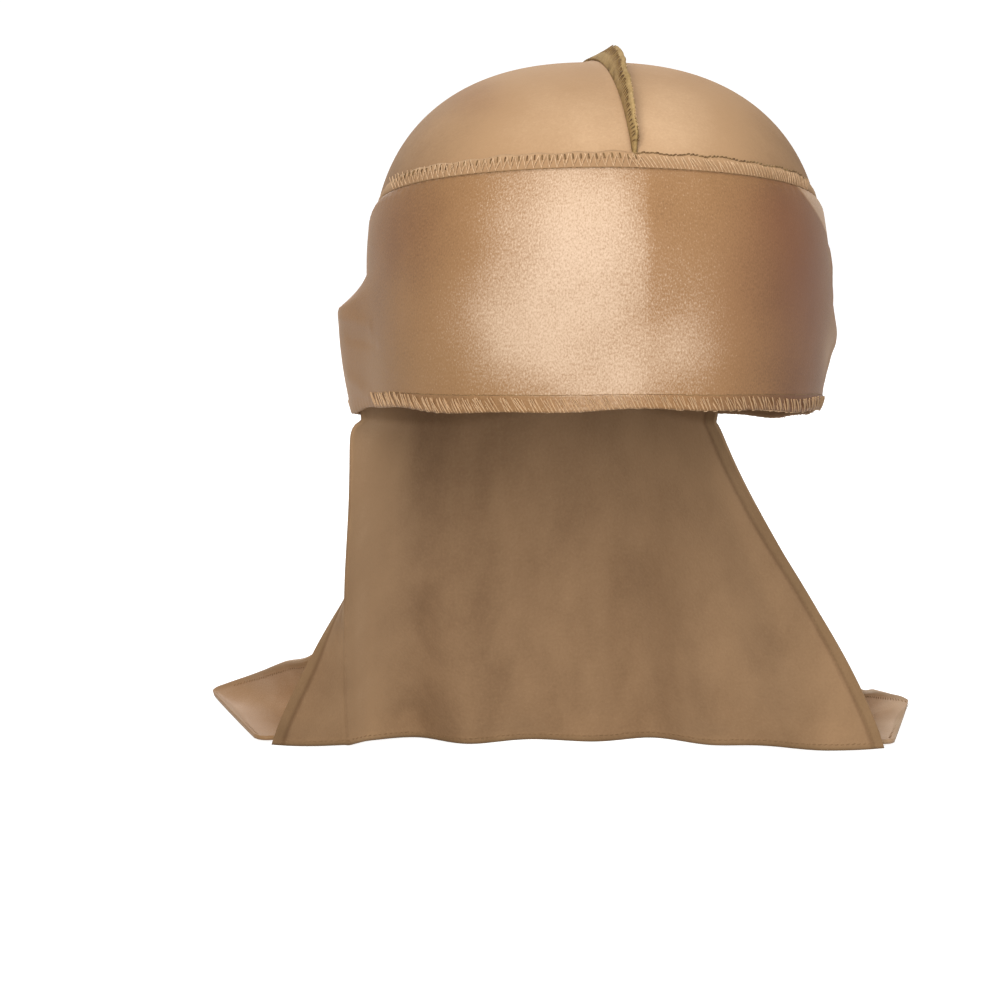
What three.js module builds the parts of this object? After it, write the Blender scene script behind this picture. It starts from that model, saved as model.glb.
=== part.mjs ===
import * as THREE from 'three';

// A durag tied as it is worn: a stretched crown of two panels, a wide forehead band knotted on
// the nape, the two strap ends and the hanging flap. Millimetres, +Z up, the brow towards -Y.
// The origin is inside the top of the crown, where it rests on its wearer.

// The rounded form that the stretched cloth follows on its inner side
const headHalfBreadth = 75.5;
const browReach = 95;            // from its middle forward
const occiputReach = 98;         // and backward
const crownRise = 68.5;          // from its widest level up to the origin
const browFall = 190;            // depth under the widest level at which the brow side would close
const napeFall = 125;            // and the nape side
const planRoundness = 2.3;       // exponent of the outline from above, 2 is an ellipse
const sideRoundness = 2.4;       // exponent of the outline from the front
const profileRoundness = 2.15;   // exponent of the outline from the side

// Cloth
const cloth = 1.5;
const gap = 0.4;

// Centre seam and the seam along the band's top
const seamTurn = 6.8;            // degrees that the crown sits askew
const seamHeight = 7.5;
const seamThickness = 1.4;
const seamLeanAtBrow = 2;        // degrees to the wearer's left
const seamLeanOnTop = 34;
const seamLeanBehind = 66;
const seamTips = { from: 0.10, until: 0.34 };      // shares of its length from the brow
const seamLiesDown = { from: 0.31, until: 0.41 };
const allowanceHeight = 4.6;
const allowanceThickness = 1.2;
const tuck = 5;                  // crown cloth behind the top of the band
const sewnTo = 92;               // azimuth at which band and crown part
const turnedDownAt = 112;        // azimuth at which the crown's edge has come down to the flap

// Forehead band
const bandTop = 29.7;            // its top edge under the origin, at the brow
const bandTopFall = 42;          // further fall of that edge round to the nape
const bandHeight = 75.3;
const hemFall = 28;              // fall of the hem round to the nape
const gatheredHeight = 46;       // height of the band where it enters the knot
const gatherFrom = 145;          // azimuth at which it starts to narrow
const earSwell = 11;             // the most that it stands off beside the left ear
const pleatDepth = 1.6;
const pleatCount = 3;
const bandRowPower = 1.3;        // its rows stand closer together near its top edge

// Knot
const knotHalfWidth = 19;
const knotHalfHeight = 15;
const knotHalfDepth = 8;
// Its turns cross in two dents. Slopes, breadths and depths are shares of the knot's half-sizes.
const knotDents = [
  { across: 0.8, up: 1.0, breadth: 0.22, depth: 0.16 },
  { across: 0.9, up: -0.5, breadth: 0.20, depth: 0.12 },
];

// Flap and strap ends
const floorDrop = 270;           // from the origin to what the free ends lie on
const flapTuck = 20;             // flap cloth inside the band, over its hem
const flapLeave = 3;             // how far under the hem it still lies on the nape
const flapHalfSpread = 122;
const flapReach = 118;           // its bottom edge behind the origin
const leaveAlongNape = 0.06;     // shares of the flap's free length that shape its fall
const leaveAlongChord = 0.24;
const landAlongFlare = 0.10;
const landAlongChord = 0.20;
const flareRun = 0.4;            // backward run for each unit of drop where it lands
const billowFade = 2.2;          // exponents with which a billow ends and starts
const billowStart = 12;
const strapWidth = 90;
const strapSag = 7;
const strapSagsFrom = { from: 0.10, until: 0.50 }; // shares of its length
const strapRoot = { upper: 50, lower: 8 };         // degrees round the knot from its lowest point
const strapRootLength = 0.12;                      // share that keeps to the knot's outline

// Where the band swells over the ears. Levels and heights are shares of bandHeight under the
// band's top edge, rises are shares of earSwell, and azimuths and widths are degrees, negative
// to the viewer's left.
const swells = [
  { azimuth: -96, level: 0.49, rise: 1.00, forward: 20, backward: 34, above: 0.08, below: 0.92 },
  { azimuth: 97, level: 0.46, rise: 0.38, forward: 24, backward: 30, above: 0.22, below: 0.34 },
  { azimuth: 92, level: 0.55, rise: 0.18, forward: 14, backward: 16, above: 0.07, below: 0.09 },
];
// The doubled flap at the viewer's left lifts the band by one layer between these azimuths
const doubledFlap = { from: -96, full: -106, until: -144, end: -158 };

// The flap from its left free edge to its right one. Each row is a line of cloth: it starts at
// an azimuth and a share of the room inside the band, ends on the floor in shares of
// flapHalfSpread and flapReach, and billows out between them by a share of flapHalfSpread.
const flapLines = [
  { azimuth: 219, lift: 0.88, spread: -1.013, reach: 1.000, billow: 0.000 },
  { azimuth: 231, lift: 0.88, spread: -0.935, reach: 0.990, billow: 0.000 },
  { azimuth: 245, lift: 0.88, spread: -0.840, reach: 0.985, billow: 0.016 },
  { azimuth: 255, lift: 0.60, spread: -0.755, reach: 1.000, billow: 0.046 },
  { azimuth: 247, lift: 0.20, spread: -0.690, reach: 1.050, billow: 0.024 },
  { azimuth: 233, lift: 0.03, spread: -0.540, reach: 1.080, billow: 0.004 },
  { azimuth: 216, lift: 0.00, spread: -0.370, reach: 1.010, billow: 0.000 },
  { azimuth: 198, lift: 0.00, spread: -0.170, reach: 1.075, billow: 0.000 },
  { azimuth: 184, lift: 0.00, spread: 0.030, reach: 1.020, billow: 0.000 },
  { azimuth: 174, lift: 0.00, spread: 0.230, reach: 1.080, billow: 0.000 },
  { azimuth: 165, lift: 0.00, spread: 0.420, reach: 1.000, billow: 0.000 },
  { azimuth: 158, lift: 0.00, spread: 0.600, reach: 0.975, billow: 0.000 },
  { azimuth: 152, lift: 0.00, spread: 0.785, reach: 0.900, billow: 0.004 },
  { azimuth: 146, lift: 0.00, spread: 0.973, reach: 0.950, billow: 0.016 },
];

// The two edges of each strap end, from the knot to the end hem: across in shares of
// flapHalfSpread, laid in shares of strapWidth behind flapReach, and down in shares of the way
// from the knot to the floor.
const strapEdges = {
  left: [
    { across: -0.34, laid: 0.02, down: 0.22, acrossLow: -0.08, laidLow: 0.03, downLow: 0.46 },
    { across: -0.60, laid: 0.06, down: 0.52, acrossLow: -0.24, laidLow: 0.10, downLow: 0.79 },
    { across: -0.80, laid: 0.10, down: 0.70, acrossLow: -0.40, laidLow: 0.17, downLow: 0.94 },
    { across: -0.885, laid: 0.14, down: 0.78, acrossLow: -0.50, laidLow: 0.20, downLow: 1.00 },
    { across: -0.998, laid: 0.41, down: 0.84, acrossLow: -0.68, laidLow: 0.19, downLow: 1.00 },
    { across: -1.15, laid: 0.78, down: 0.935, acrossLow: -0.90, laidLow: 0.12, downLow: 1.00 },
    { across: -1.285, laid: 0.96, down: 1.00, acrossLow: -1.06, laidLow: 0.03, downLow: 1.00 },
  ],
  right: [
    { across: 0.31, laid: 0.02, down: 0.22, acrossLow: 0.07, laidLow: 0.03, downLow: 0.46 },
    { across: 0.54, laid: 0.05, down: 0.52, acrossLow: 0.20, laidLow: 0.10, downLow: 0.79 },
    { across: 0.77, laid: 0.09, down: 0.76, acrossLow: 0.36, laidLow: 0.17, downLow: 0.94 },
    { across: 0.905, laid: 0.16, down: 0.873, acrossLow: 0.46, laidLow: 0.18, downLow: 1.00 },
    { across: 1.00, laid: 0.47, down: 0.928, acrossLow: 0.63, laidLow: 0.14, downLow: 1.00 },
    { across: 1.10, laid: 0.69, down: 0.977, acrossLow: 0.85, laidLow: 0.03, downLow: 1.00 },
    { across: 1.135, laid: 0.73, down: 1.00, acrossLow: 1.008, laidLow: -0.03, downLow: 1.00 },
  ],
};

const velvet = { color: 0xb98f66, roughness: 0.72, metalness: 0 };
const velvetBack = { color: 0xa5825f, roughness: 0.9, metalness: 0 };
const overlock = { color: 0x87734b, roughness: 0.95, metalness: 0 };

const radians = THREE.MathUtils.degToRad;
const mix = THREE.MathUtils.lerp;
const smooth = THREE.MathUtils.smoothstep;
const bell = (x) => Math.exp(-x * x);
const layer = cloth + gap;
const floorLevel = -floorDrop;

// Lines and rows of quads in each piece
const grids = {
  crownPanel: [32, 10],
  centreSeam: [36, 2],
  bandSeam: [32, 1],
  foreheadBand: [64, 10],
  flap: [4 * (flapLines.length - 1), 14],
  coveredFlapRows: 3,            // of them inside the band
  strapEnd: [28, 6],
  knot: [20, 12],
};

// An azimuth turned into the range from -180 to 180
function wrapped(azimuth) {
  return azimuth - 360 * Math.round(azimuth / 360);
}

// Share of the way from brow to nape
function rearward(azimuth) {
  return (1 - Math.cos(radians(azimuth))) / 2;
}

function profileExponent(azimuth) {
  return mix(sideRoundness, profileRoundness, Math.cos(radians(azimuth)) ** 2);
}

// Reach of the form's widest level along one azimuth, grown by an offset
function widestReach(azimuth, offset) {
  const sine = Math.abs(Math.sin(radians(azimuth)));
  const cosine = Math.cos(radians(azimuth));
  const depth = (cosine > 0 ? browReach : occiputReach) + offset;
  const sum = (sine / (headHalfBreadth + offset)) ** planRoundness
    + (Math.abs(cosine) / depth) ** planRoundness;
  return sum ** (-1 / planRoundness);
}

// Half-height of the form on the side of its widest level where z lies
function formHeight(azimuth, above, offset) {
  return (above ? crownRise : mix(browFall, napeFall, rearward(azimuth))) + offset;
}

// A point round the form at a height z, grown by an offset and pushed out by a swell
function onForm(azimuth, z, offset, swell = 0) {
  const exponent = profileExponent(azimuth);
  const rise = z + crownRise;
  const share = Math.min(1, Math.abs(rise) / formHeight(azimuth, rise > 0, offset));
  const radius = widestReach(azimuth, offset) * (1 - share ** exponent) ** (1 / exponent) + swell;
  return new THREE.Vector3(
    radius * Math.sin(radians(azimuth)), -radius * Math.cos(radians(azimuth)), z);
}

// Angle from the top of the form at which its surface passes a height z
function polarAt(azimuth, z, offset) {
  const rise = z + crownRise;
  const share = Math.min(1, Math.abs(rise) / formHeight(azimuth, rise > 0, offset));
  return Math.acos(Math.sign(rise) * share ** (profileExponent(azimuth) / 2));
}

// A point on the form at an angle from its top
function onDome(azimuth, polar, offset) {
  const power = 2 / profileExponent(azimuth);
  const above = Math.cos(polar) > 0;
  const rise = Math.sign(Math.cos(polar)) * formHeight(azimuth, above, offset)
    * Math.abs(Math.cos(polar)) ** power;
  const radius = widestReach(azimuth, offset) * Math.sin(polar) ** power;
  return new THREE.Vector3(
    radius * Math.sin(radians(azimuth)), -radius * Math.cos(radians(azimuth)), rise - crownRise);
}

// Heights of the band's two edges
function bandEdges(azimuth) {
  const top = -bandTop - bandTopFall * rearward(azimuth);
  const hem = -bandTop - bandHeight - hemFall * rearward(azimuth);
  const gather = smooth(Math.abs(wrapped(azimuth)), gatherFrom, 180);
  const middle = (top + hem) / 2;
  return {
    top: mix(top, middle + gatheredHeight / 2, gather),
    hem: mix(hem, middle - gatheredHeight / 2, gather),
  };
}

// How far the band's inner face stands off the form
function bandLift(azimuth, z) {
  const turn = wrapped(azimuth);
  const { top } = bandEdges(turn);
  const doubled = smooth(-turn, -doubledFlap.from, -doubledFlap.full)
    * (1 - smooth(-turn, -doubledFlap.until, -doubledFlap.end));
  let lift = layer * (1 + doubled);
  for (const { azimuth: place, level, rise, forward, backward, above, below } of swells) {
    const behind = Math.abs(turn) > Math.abs(place);
    const across = (turn - place) / (behind ? backward : forward);
    const depth = (top - z) / bandHeight - level;
    const height = depth < 0 ? above : below;
    if (turn * place > 0) lift += rise * earSwell * bell(across) * bell(depth / height);
  }
  return lift;
}

// Height of the flap's top edge, where the crown's back edge meets it
function flapTop(azimuth) {
  return bandEdges(azimuth).hem + flapTuck;
}

// Height of the crown's lower edge: just under the band's top, then down to the flap
function crownEdge(azimuth) {
  const down = smooth(Math.abs(wrapped(azimuth)), sewnTo, turnedDownAt);
  return mix(bandEdges(azimuth).top - tuck, flapTop(azimuth) + gap, down);
}

// Points and triangles of one piece: equal points are merged, collapsed triangles left out
class Facets {
  constructor() {
    this.positions = [];
    this.triangles = [];
    this.lookup = new Map();
  }

  vertex(point) {
    const rounded = point.toArray().map((value) => Math.round(value * 1e4) / 1e4);
    const key = rounded.map((value) => Math.round(value * 1e3)).join();
    if (!this.lookup.has(key)) this.lookup.set(key, this.positions.push(rounded) - 1);
    return this.lookup.get(key);
  }

  triangle(a, b, c) {
    if (a !== b && b !== c && c !== a) this.triangles.push(a, b, c);
  }

  quad(a, b, c, d) {
    this.triangle(a, b, c);
    this.triangle(a, c, d);
  }
}

// A closed mesh from two facing grids of points, with the four rims joined
function wall(name, finish, [lines, rows], inner, outer) {
  const facets = new Facets();
  const quad = facets.quad.bind(facets);
  const grid = (face) => Array.from({ length: lines + 1 }, (_, i) =>
    Array.from({ length: rows + 1 }, (_, j) => facets.vertex(face(i / lines, j / rows))));
  const inside = grid(inner);
  const outside = grid(outer);
  for (let i = 0; i < lines; i += 1) {
    for (let j = 0; j < rows; j += 1) {
      quad(outside[i][j], outside[i + 1][j], outside[i + 1][j + 1], outside[i][j + 1]);
      quad(inside[i][j + 1], inside[i + 1][j + 1], inside[i + 1][j], inside[i][j]);
    }
    quad(inside[i][0], inside[i + 1][0], outside[i + 1][0], outside[i][0]);
    quad(outside[i][rows], outside[i + 1][rows], inside[i + 1][rows], inside[i][rows]);
  }
  for (let j = 0; j < rows; j += 1) {
    quad(outside[0][j], outside[0][j + 1], inside[0][j + 1], inside[0][j]);
    quad(inside[lines][j], inside[lines][j + 1], outside[lines][j + 1], outside[lines][j]);
  }
  return solid(name, finish, facets);
}

// A named mesh whose faces point out
function solid(name, finish, { positions, triangles }) {
  let volume = 0;
  for (let k = 0; k < triangles.length; k += 3) {
    const [a, b, c] = [0, 1, 2].map((n) => new THREE.Vector3(...positions[triangles[k + n]]));
    volume += a.dot(b.cross(c));
  }
  const facing = volume > 0 ? triangles : triangles.slice().reverse();
  const geometry = new THREE.BufferGeometry();
  geometry.setAttribute('position', new THREE.Float32BufferAttribute(positions.flat(), 3));
  geometry.setIndex(facing);
  geometry.computeVertexNormals();
  const mesh = new THREE.Mesh(geometry, new THREE.MeshStandardMaterial(finish));
  mesh.name = name;
  return mesh;
}

// A wall of cloth round a middle surface, which a function gives for shares along and down
function sheet(name, finish, grid, middle) {
  const step = 1e-3;
  const normal = (u, v) => {
    const along = middle(Math.min(1, u + step), v).sub(middle(Math.max(0, u - step), v));
    const down = middle(u, Math.min(1, v + step)).sub(middle(u, Math.max(0, v - step)));
    return along.cross(down).normalize();
  };
  const face = (side) => (u, v) =>
    middle(u, v).addScaledVector(normal(u, v), side * cloth / 2);
  return wall(name, finish, grid, face(-1), face(1));
}

const acrossSeam = new THREE.Vector3(Math.cos(radians(seamTurn)), Math.sin(radians(seamTurn)), 0);

// Half of the crown, from the centre seam over one side to the lower edge
function crownPanel(name, side) {
  const shift = acrossSeam.clone().multiplyScalar(side * gap / 2);
  const face = (offset) => (u, v) => {
    const azimuth = seamTurn + side * 180 * u;
    return onDome(azimuth, polarAt(azimuth, crownEdge(azimuth), offset) * v, offset)
      .addScaledVector(shift, 1 - v * Math.sin(Math.PI * u) ** 2);
  };
  return wall(name, velvet, grids.crownPanel, face(0), face(cloth));
}

// The seam allowance standing along the crown from the band's seam over the top to its back
function centreSeam() {
  const brow = bandEdges(seamTurn).top + allowanceHeight + 2 * gap;
  const nape = bandEdges(seamTurn + 180).top + gap;
  const ends = [polarAt(seamTurn, brow, layer), polarAt(seamTurn + 180, nape, layer)];
  const base = (u) => {
    const polar = mix(-ends[0], ends[1], u);
    return onDome(polar < 0 ? seamTurn : seamTurn + 180, Math.abs(polar), layer);
  };
  const face = (side) => (u, v) => {
    const tangent = base(Math.min(1, u + 0.01)).sub(base(Math.max(0, u - 0.01)));
    const out = tangent.cross(acrossSeam).normalize().negate();
    const tipped = mix(seamLeanAtBrow, seamLeanOnTop, smooth(u, seamTips.from, seamTips.until));
    const down = smooth(u, seamLiesDown.from, seamLiesDown.until);
    const lean = radians(mix(tipped, seamLeanBehind, down));
    const up = v * seamHeight;
    const aside = side * seamThickness / 2;
    return base(u)
      .addScaledVector(out, up * Math.cos(lean) + (seamThickness / 2 - aside) * Math.sin(lean))
      .addScaledVector(acrossSeam, up * Math.sin(lean) + aside * Math.cos(lean));
  };
  return wall('centre_seam', overlock, grids.centreSeam, face(-1), face(1));
}

// The allowance of the seam between band and crown, folded up on the crown
function bandSeam() {
  const face = (offset) => (u, v) => {
    const azimuth = mix(-sewnTo, sewnTo, u);
    return onForm(azimuth, bandEdges(azimuth).top + gap + allowanceHeight * v, offset);
  };
  return wall(
    'band_seam', overlock, grids.bandSeam, face(layer), face(layer + allowanceThickness));
}

// The band, from one side of the knot round the brow to the other
function foreheadBand() {
  const half = 180 - THREE.MathUtils.radToDeg(gap / occiputReach);
  const face = (thickness) => (u, v) => {
    const azimuth = mix(-half, half, u);
    const { top, hem } = bandEdges(azimuth);
    const share = v ** bandRowPower;
    const z = mix(top, hem, share);
    const pleats = pleatDepth * smooth(Math.abs(azimuth), gatherFrom, 180)
      * (1 - Math.cos(2 * Math.PI * pleatCount * share)) / 2;
    return onForm(azimuth, z, layer + thickness, bandLift(azimuth, z) - layer + pleats);
  };
  return wall('forehead_band', velvet, grids.foreheadBand, face(0), face(cloth));
}

const knotLevel = (bandEdges(180).top + bandEdges(180).hem) / 2;
const knotCentre = onForm(180, knotLevel, 2 * cloth + 2 * gap + pleatDepth + knotHalfDepth);

// The knot: crossed turns of cloth drawn into one lump
function knot() {
  const geometry = new THREE.SphereGeometry(1, ...grids.knot);
  const place = geometry.getAttribute('position');
  const facets = new Facets();
  const merged = Array.from({ length: place.count }, (_, k) => {
    const p = new THREE.Vector3().fromBufferAttribute(place, k);
    const drawnIn = knotDents.reduce((sum, { across, up, breadth, depth }) =>
      sum + depth * bell((p.x * across + p.z * up) / breadth), 0);
    return facets.vertex(new THREE.Vector3(
      p.x * knotHalfWidth * (1 - drawnIn), p.y * knotHalfDepth, p.z * knotHalfHeight)
      .add(knotCentre));
  });
  const index = geometry.getIndex();
  for (let k = 0; k < index.count; k += 3) {
    facets.triangle(...[0, 1, 2].map((n) => merged[index.getX(k + n)]));
  }
  return solid('knot', velvet, facets);
}

// A smooth value through the rows of one column of a table
function through(rows, column, share) {
  const place = share * (rows.length - 1);
  const k = Math.min(rows.length - 2, Math.floor(place));
  const t = place - k;
  const [a, b, c, d] = [k - 1, k, k + 1, k + 2].map((n) =>
    rows[Math.min(rows.length - 1, Math.max(0, n))][column]);
  return b + 0.5 * t * (c - a + t * (2 * a - 5 * b + 4 * c - d + t * (3 * (b - c) + d - a)));
}

// The flap's middle surface: inside the band down to its hem, then flaring to the floor
function flapPoint(u, v) {
  const azimuth = through(flapLines, 'azimuth', u);
  const lift = through(flapLines, 'lift', u);
  const leave = bandEdges(azimuth).hem - flapLeave;
  const inside = (z) => onForm(azimuth, z,
    cloth / 2 + lift * (bandLift(azimuth, Math.max(z, leave + flapLeave)) - layer));
  const covered = grids.coveredFlapRows / grids.flap[1];
  if (v < covered) return inside(mix(flapTop(azimuth), leave, v / covered));
  const start = inside(leave);
  const end = new THREE.Vector3(
    flapHalfSpread * through(flapLines, 'spread', u),
    flapReach * through(flapLines, 'reach', u),
    floorLevel + cloth / 2);
  const chord = end.clone().sub(start);
  const heading = inside(leave - 1).sub(start).multiplyScalar(chord.length());
  const flare = new THREE.Vector3(0, flareRun, -1).multiplyScalar(chord.length());
  const first = start.clone()
    .addScaledVector(heading, leaveAlongNape).addScaledVector(chord, leaveAlongChord);
  const second = end.clone()
    .addScaledVector(flare, -landAlongFlare).addScaledVector(chord, -landAlongChord);
  const share = (v - covered) / (1 - covered);
  const billow = flapHalfSpread * through(flapLines, 'billow', u)
    * (1 - share ** billowFade) * (1 - (1 - share) ** billowStart);
  const outward = new THREE.Vector3(Math.sin(radians(azimuth)), -Math.cos(radians(azimuth)), 0);
  return new THREE.CubicBezierCurve3(start, first, second, end).getPoint(share)
    .addScaledVector(outward, billow);
}

function flap() {
  return sheet('cape', velvetBack, grids.flap, flapPoint);
}

// One strap end, ruled between its upper and lower edge, hanging from the knot to the floor
function strapEnd(name, side) {
  const rim = (degrees) => new THREE.Vector3(
    side * (knotHalfWidth + gap) * Math.sin(radians(degrees)), knotCentre.y,
    knotCentre.z - (knotHalfHeight + gap) * Math.cos(radians(degrees)));
  const lowest = knotCentre.z - knotHalfHeight;
  const level = floorLevel + cloth / 2;
  const table = strapEdges[side < 0 ? 'left' : 'right'];
  const point = (row, low) => new THREE.Vector3(
    flapHalfSpread * (low ? row.acrossLow : row.across),
    flapReach + strapWidth * (low ? row.laidLow : row.laid),
    mix(lowest, level, low ? row.downLow : row.down));
  const edge = (low) => new THREE.CatmullRomCurve3(
    [rim(low ? strapRoot.lower : strapRoot.upper), ...table.map((row) => point(row, low))]);
  const upper = edge(false);
  const lower = edge(true);
  const middle = (u, v) => {
    const place = upper.getPoint(u).lerp(lower.getPoint(u), v);
    const chord = rim(strapRoot.upper).lerp(rim(strapRoot.lower), v);
    const arc = rim(mix(strapRoot.upper, strapRoot.lower, v)).sub(chord);
    place.addScaledVector(arc, 1 - smooth(u, 0, strapRootLength));
    place.z -= strapSag * Math.sin(Math.PI * v)
      * smooth(u, strapSagsFrom.from, strapSagsFrom.until);
    place.z = Math.max(place.z, level);
    return place;
  };
  return sheet(name, velvet, grids.strapEnd, middle);
}

const group = new THREE.Group();
group.add(
  crownPanel('crown_panel_left', -1),
  crownPanel('crown_panel_right', 1),
  centreSeam(),
  bandSeam(),
  foreheadBand(),
  flap(),
  knot(),
  strapEnd('strap_end_left', -1),
  strapEnd('strap_end_right', 1),
);

export default group;
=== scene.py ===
import math

import bmesh
import bpy
import numpy as np
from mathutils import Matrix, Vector


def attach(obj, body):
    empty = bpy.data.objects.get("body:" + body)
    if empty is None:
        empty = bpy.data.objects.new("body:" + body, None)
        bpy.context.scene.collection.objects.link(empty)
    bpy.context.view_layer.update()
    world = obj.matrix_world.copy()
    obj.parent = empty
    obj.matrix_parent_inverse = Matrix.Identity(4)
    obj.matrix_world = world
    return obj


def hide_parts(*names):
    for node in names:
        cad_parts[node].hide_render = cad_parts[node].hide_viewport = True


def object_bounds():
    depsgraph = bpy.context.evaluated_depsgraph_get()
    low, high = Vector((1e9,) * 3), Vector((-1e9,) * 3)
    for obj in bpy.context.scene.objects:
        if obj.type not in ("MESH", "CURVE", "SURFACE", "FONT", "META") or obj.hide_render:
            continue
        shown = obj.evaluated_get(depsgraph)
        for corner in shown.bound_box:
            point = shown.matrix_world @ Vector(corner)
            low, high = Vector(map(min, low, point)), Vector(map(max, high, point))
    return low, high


# A durag tied as it is worn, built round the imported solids. Shapes are worked out in
# millimetres in the frame's own axes and turned into metres when a mesh is made.

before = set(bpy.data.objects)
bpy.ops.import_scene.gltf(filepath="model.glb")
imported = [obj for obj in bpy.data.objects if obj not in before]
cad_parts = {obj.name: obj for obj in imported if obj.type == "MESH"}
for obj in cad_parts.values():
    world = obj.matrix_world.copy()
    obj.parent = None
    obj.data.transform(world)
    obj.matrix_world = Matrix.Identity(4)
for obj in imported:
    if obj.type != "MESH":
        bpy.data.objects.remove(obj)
cadBox = [list(corner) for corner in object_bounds()]
mm = 0.001

form = {  # the rounded form that the stretched cloth follows
    "halfBreadth": 75.5, "browReach": 95, "occiputReach": 98,
    "crownRise": 68.5, "browFall": 190, "napeFall": 125,
    "planRoundness": 2.3, "sideRoundness": 2.4, "profileRoundness": 2.15,
    "paintBreadth": 80,  # half-breadth that the painted tones are shares of
}
fabric = {"room": 1.5, "gap": 0.4, "thickness": 1.15}
layer = fabric["room"] + fabric["gap"]
bandEnd = 180 - math.degrees(fabric["gap"] / form["occiputReach"])
floorLevel = cadBox[0][2] / mm


def mix(a, b, share):
    return a + (b - a) * share


def smooth(x, low, high):
    share = np.clip((x - low) / (high - low), 0, 1)
    return share * share * (3 - 2 * share)


def bell(x):
    return np.exp(-x * x)


def vector(x, y, z):
    return np.stack(np.broadcast_arrays(x, y, z), axis=-1).astype(float)


def unit(v):
    return v / np.maximum(np.linalg.norm(v, axis=-1, keepdims=True), 1e-12)


def table(columns, *rows):
    # each row becomes a dictionary with the named columns
    return [dict(zip(columns.split(), row)) for row in rows]


def wrapped(azimuth):
    return azimuth - 360 * np.round(azimuth / 360)


def rearward(azimuth):  # share of the way from brow to nape
    return (1 - np.cos(np.radians(azimuth))) / 2


def profileExponent(azimuth):
    return mix(form["sideRoundness"], form["profileRoundness"], np.cos(np.radians(azimuth)) ** 2)


def widestReach(azimuth, offset):
    sine = np.abs(np.sin(np.radians(azimuth)))
    cosine = np.cos(np.radians(azimuth))
    depth = np.where(cosine > 0, form["browReach"], form["occiputReach"]) + offset
    power = form["planRoundness"]
    total = (sine / (form["halfBreadth"] + offset)) ** power + (np.abs(cosine) / depth) ** power
    return total ** (-1 / power)


def formHeight(azimuth, above, offset):
    fall = mix(form["browFall"], form["napeFall"], rearward(azimuth))
    return np.where(above, form["crownRise"], fall) + offset


def onForm(azimuth, z, offset, swell=0):
    exponent = profileExponent(azimuth)
    rise = z + form["crownRise"]
    share = np.minimum(1, np.abs(rise) / formHeight(azimuth, rise > 0, offset))
    radius = widestReach(azimuth, offset) * (1 - share ** exponent) ** (1 / exponent) + swell
    turn = np.radians(azimuth)
    return vector(radius * np.sin(turn), -radius * np.cos(turn), z)


def polarAt(azimuth, z, offset):
    rise = z + form["crownRise"]
    share = np.minimum(1, np.abs(rise) / formHeight(azimuth, rise > 0, offset))
    return np.arccos(np.sign(rise) * share ** (profileExponent(azimuth) / 2))


def onDome(azimuth, polar, offset):
    power = 2 / profileExponent(azimuth)
    cosine = np.cos(polar)
    height = formHeight(azimuth, cosine > 0, offset)
    rise = np.sign(cosine) * height * np.abs(cosine) ** power
    radius = widestReach(azimuth, offset) * np.abs(np.sin(polar)) ** power
    turn = np.radians(azimuth)
    return vector(radius * np.sin(turn), -radius * np.cos(turn), rise - form["crownRise"])


# Meshes

def surfaceFrame(surface, u, v, step=2e-4):
    # point, direction along u, direction along v, and the way out of the cloth
    along = surface(np.minimum(u + step, 1), v) - surface(np.maximum(u - step, 0), v)
    down = surface(u, np.minimum(v + step, 1)) - surface(u, np.maximum(v - step, 0))
    return surface(u, v), unit(along), unit(down), unit(np.cross(down, along))


def linked(name, data):
    piece = bpy.data.objects.new(name, data)
    bpy.context.scene.collection.objects.link(piece)
    return piece


def plainMesh(name, points, faces, materials, sides=None):
    mesh = bpy.data.meshes.new(name)
    mesh.from_pydata((points * mm).tolist(), [], faces)
    for material in materials:
        mesh.materials.append(material)
    if sides is not None:
        mesh.polygons.foreach_set("material_index", sides)
    mesh.polygons.foreach_set("use_smooth", [True] * len(mesh.polygons))
    return linked(name, mesh)


def wallFaces(lines, rows):
    # quads of both faces of a wall and of its four rims, and which of them face inwards
    count = (lines + 1) * (rows + 1)
    index = np.arange(count).reshape(lines + 1, rows + 1)
    other = index + count

    def quads(a, b, c, d):
        return np.stack([a, b, c, d], axis=-1).reshape(-1, 4)

    out = quads(index[:-1, :-1], index[:-1, 1:], index[1:, 1:], index[1:, :-1])
    back = quads(other[1:, :-1], other[1:, 1:], other[:-1, 1:], other[:-1, :-1])
    rims = [
        quads(index[:-1, 0], index[1:, 0], other[1:, 0], other[:-1, 0]),
        quads(index[1:, -1], index[:-1, -1], other[:-1, -1], other[1:, -1]),
        quads(index[0, 1:], index[0, :-1], other[0, :-1], other[0, 1:]),
        quads(index[-1, :-1], index[-1, 1:], other[-1, 1:], other[-1, :-1]),
    ]
    faces = np.concatenate([out, back, *rims])
    inward = np.zeros(len(faces), dtype=np.int32)
    inward[len(out):len(out) + len(back)] = 1
    return faces.tolist(), inward


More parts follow.
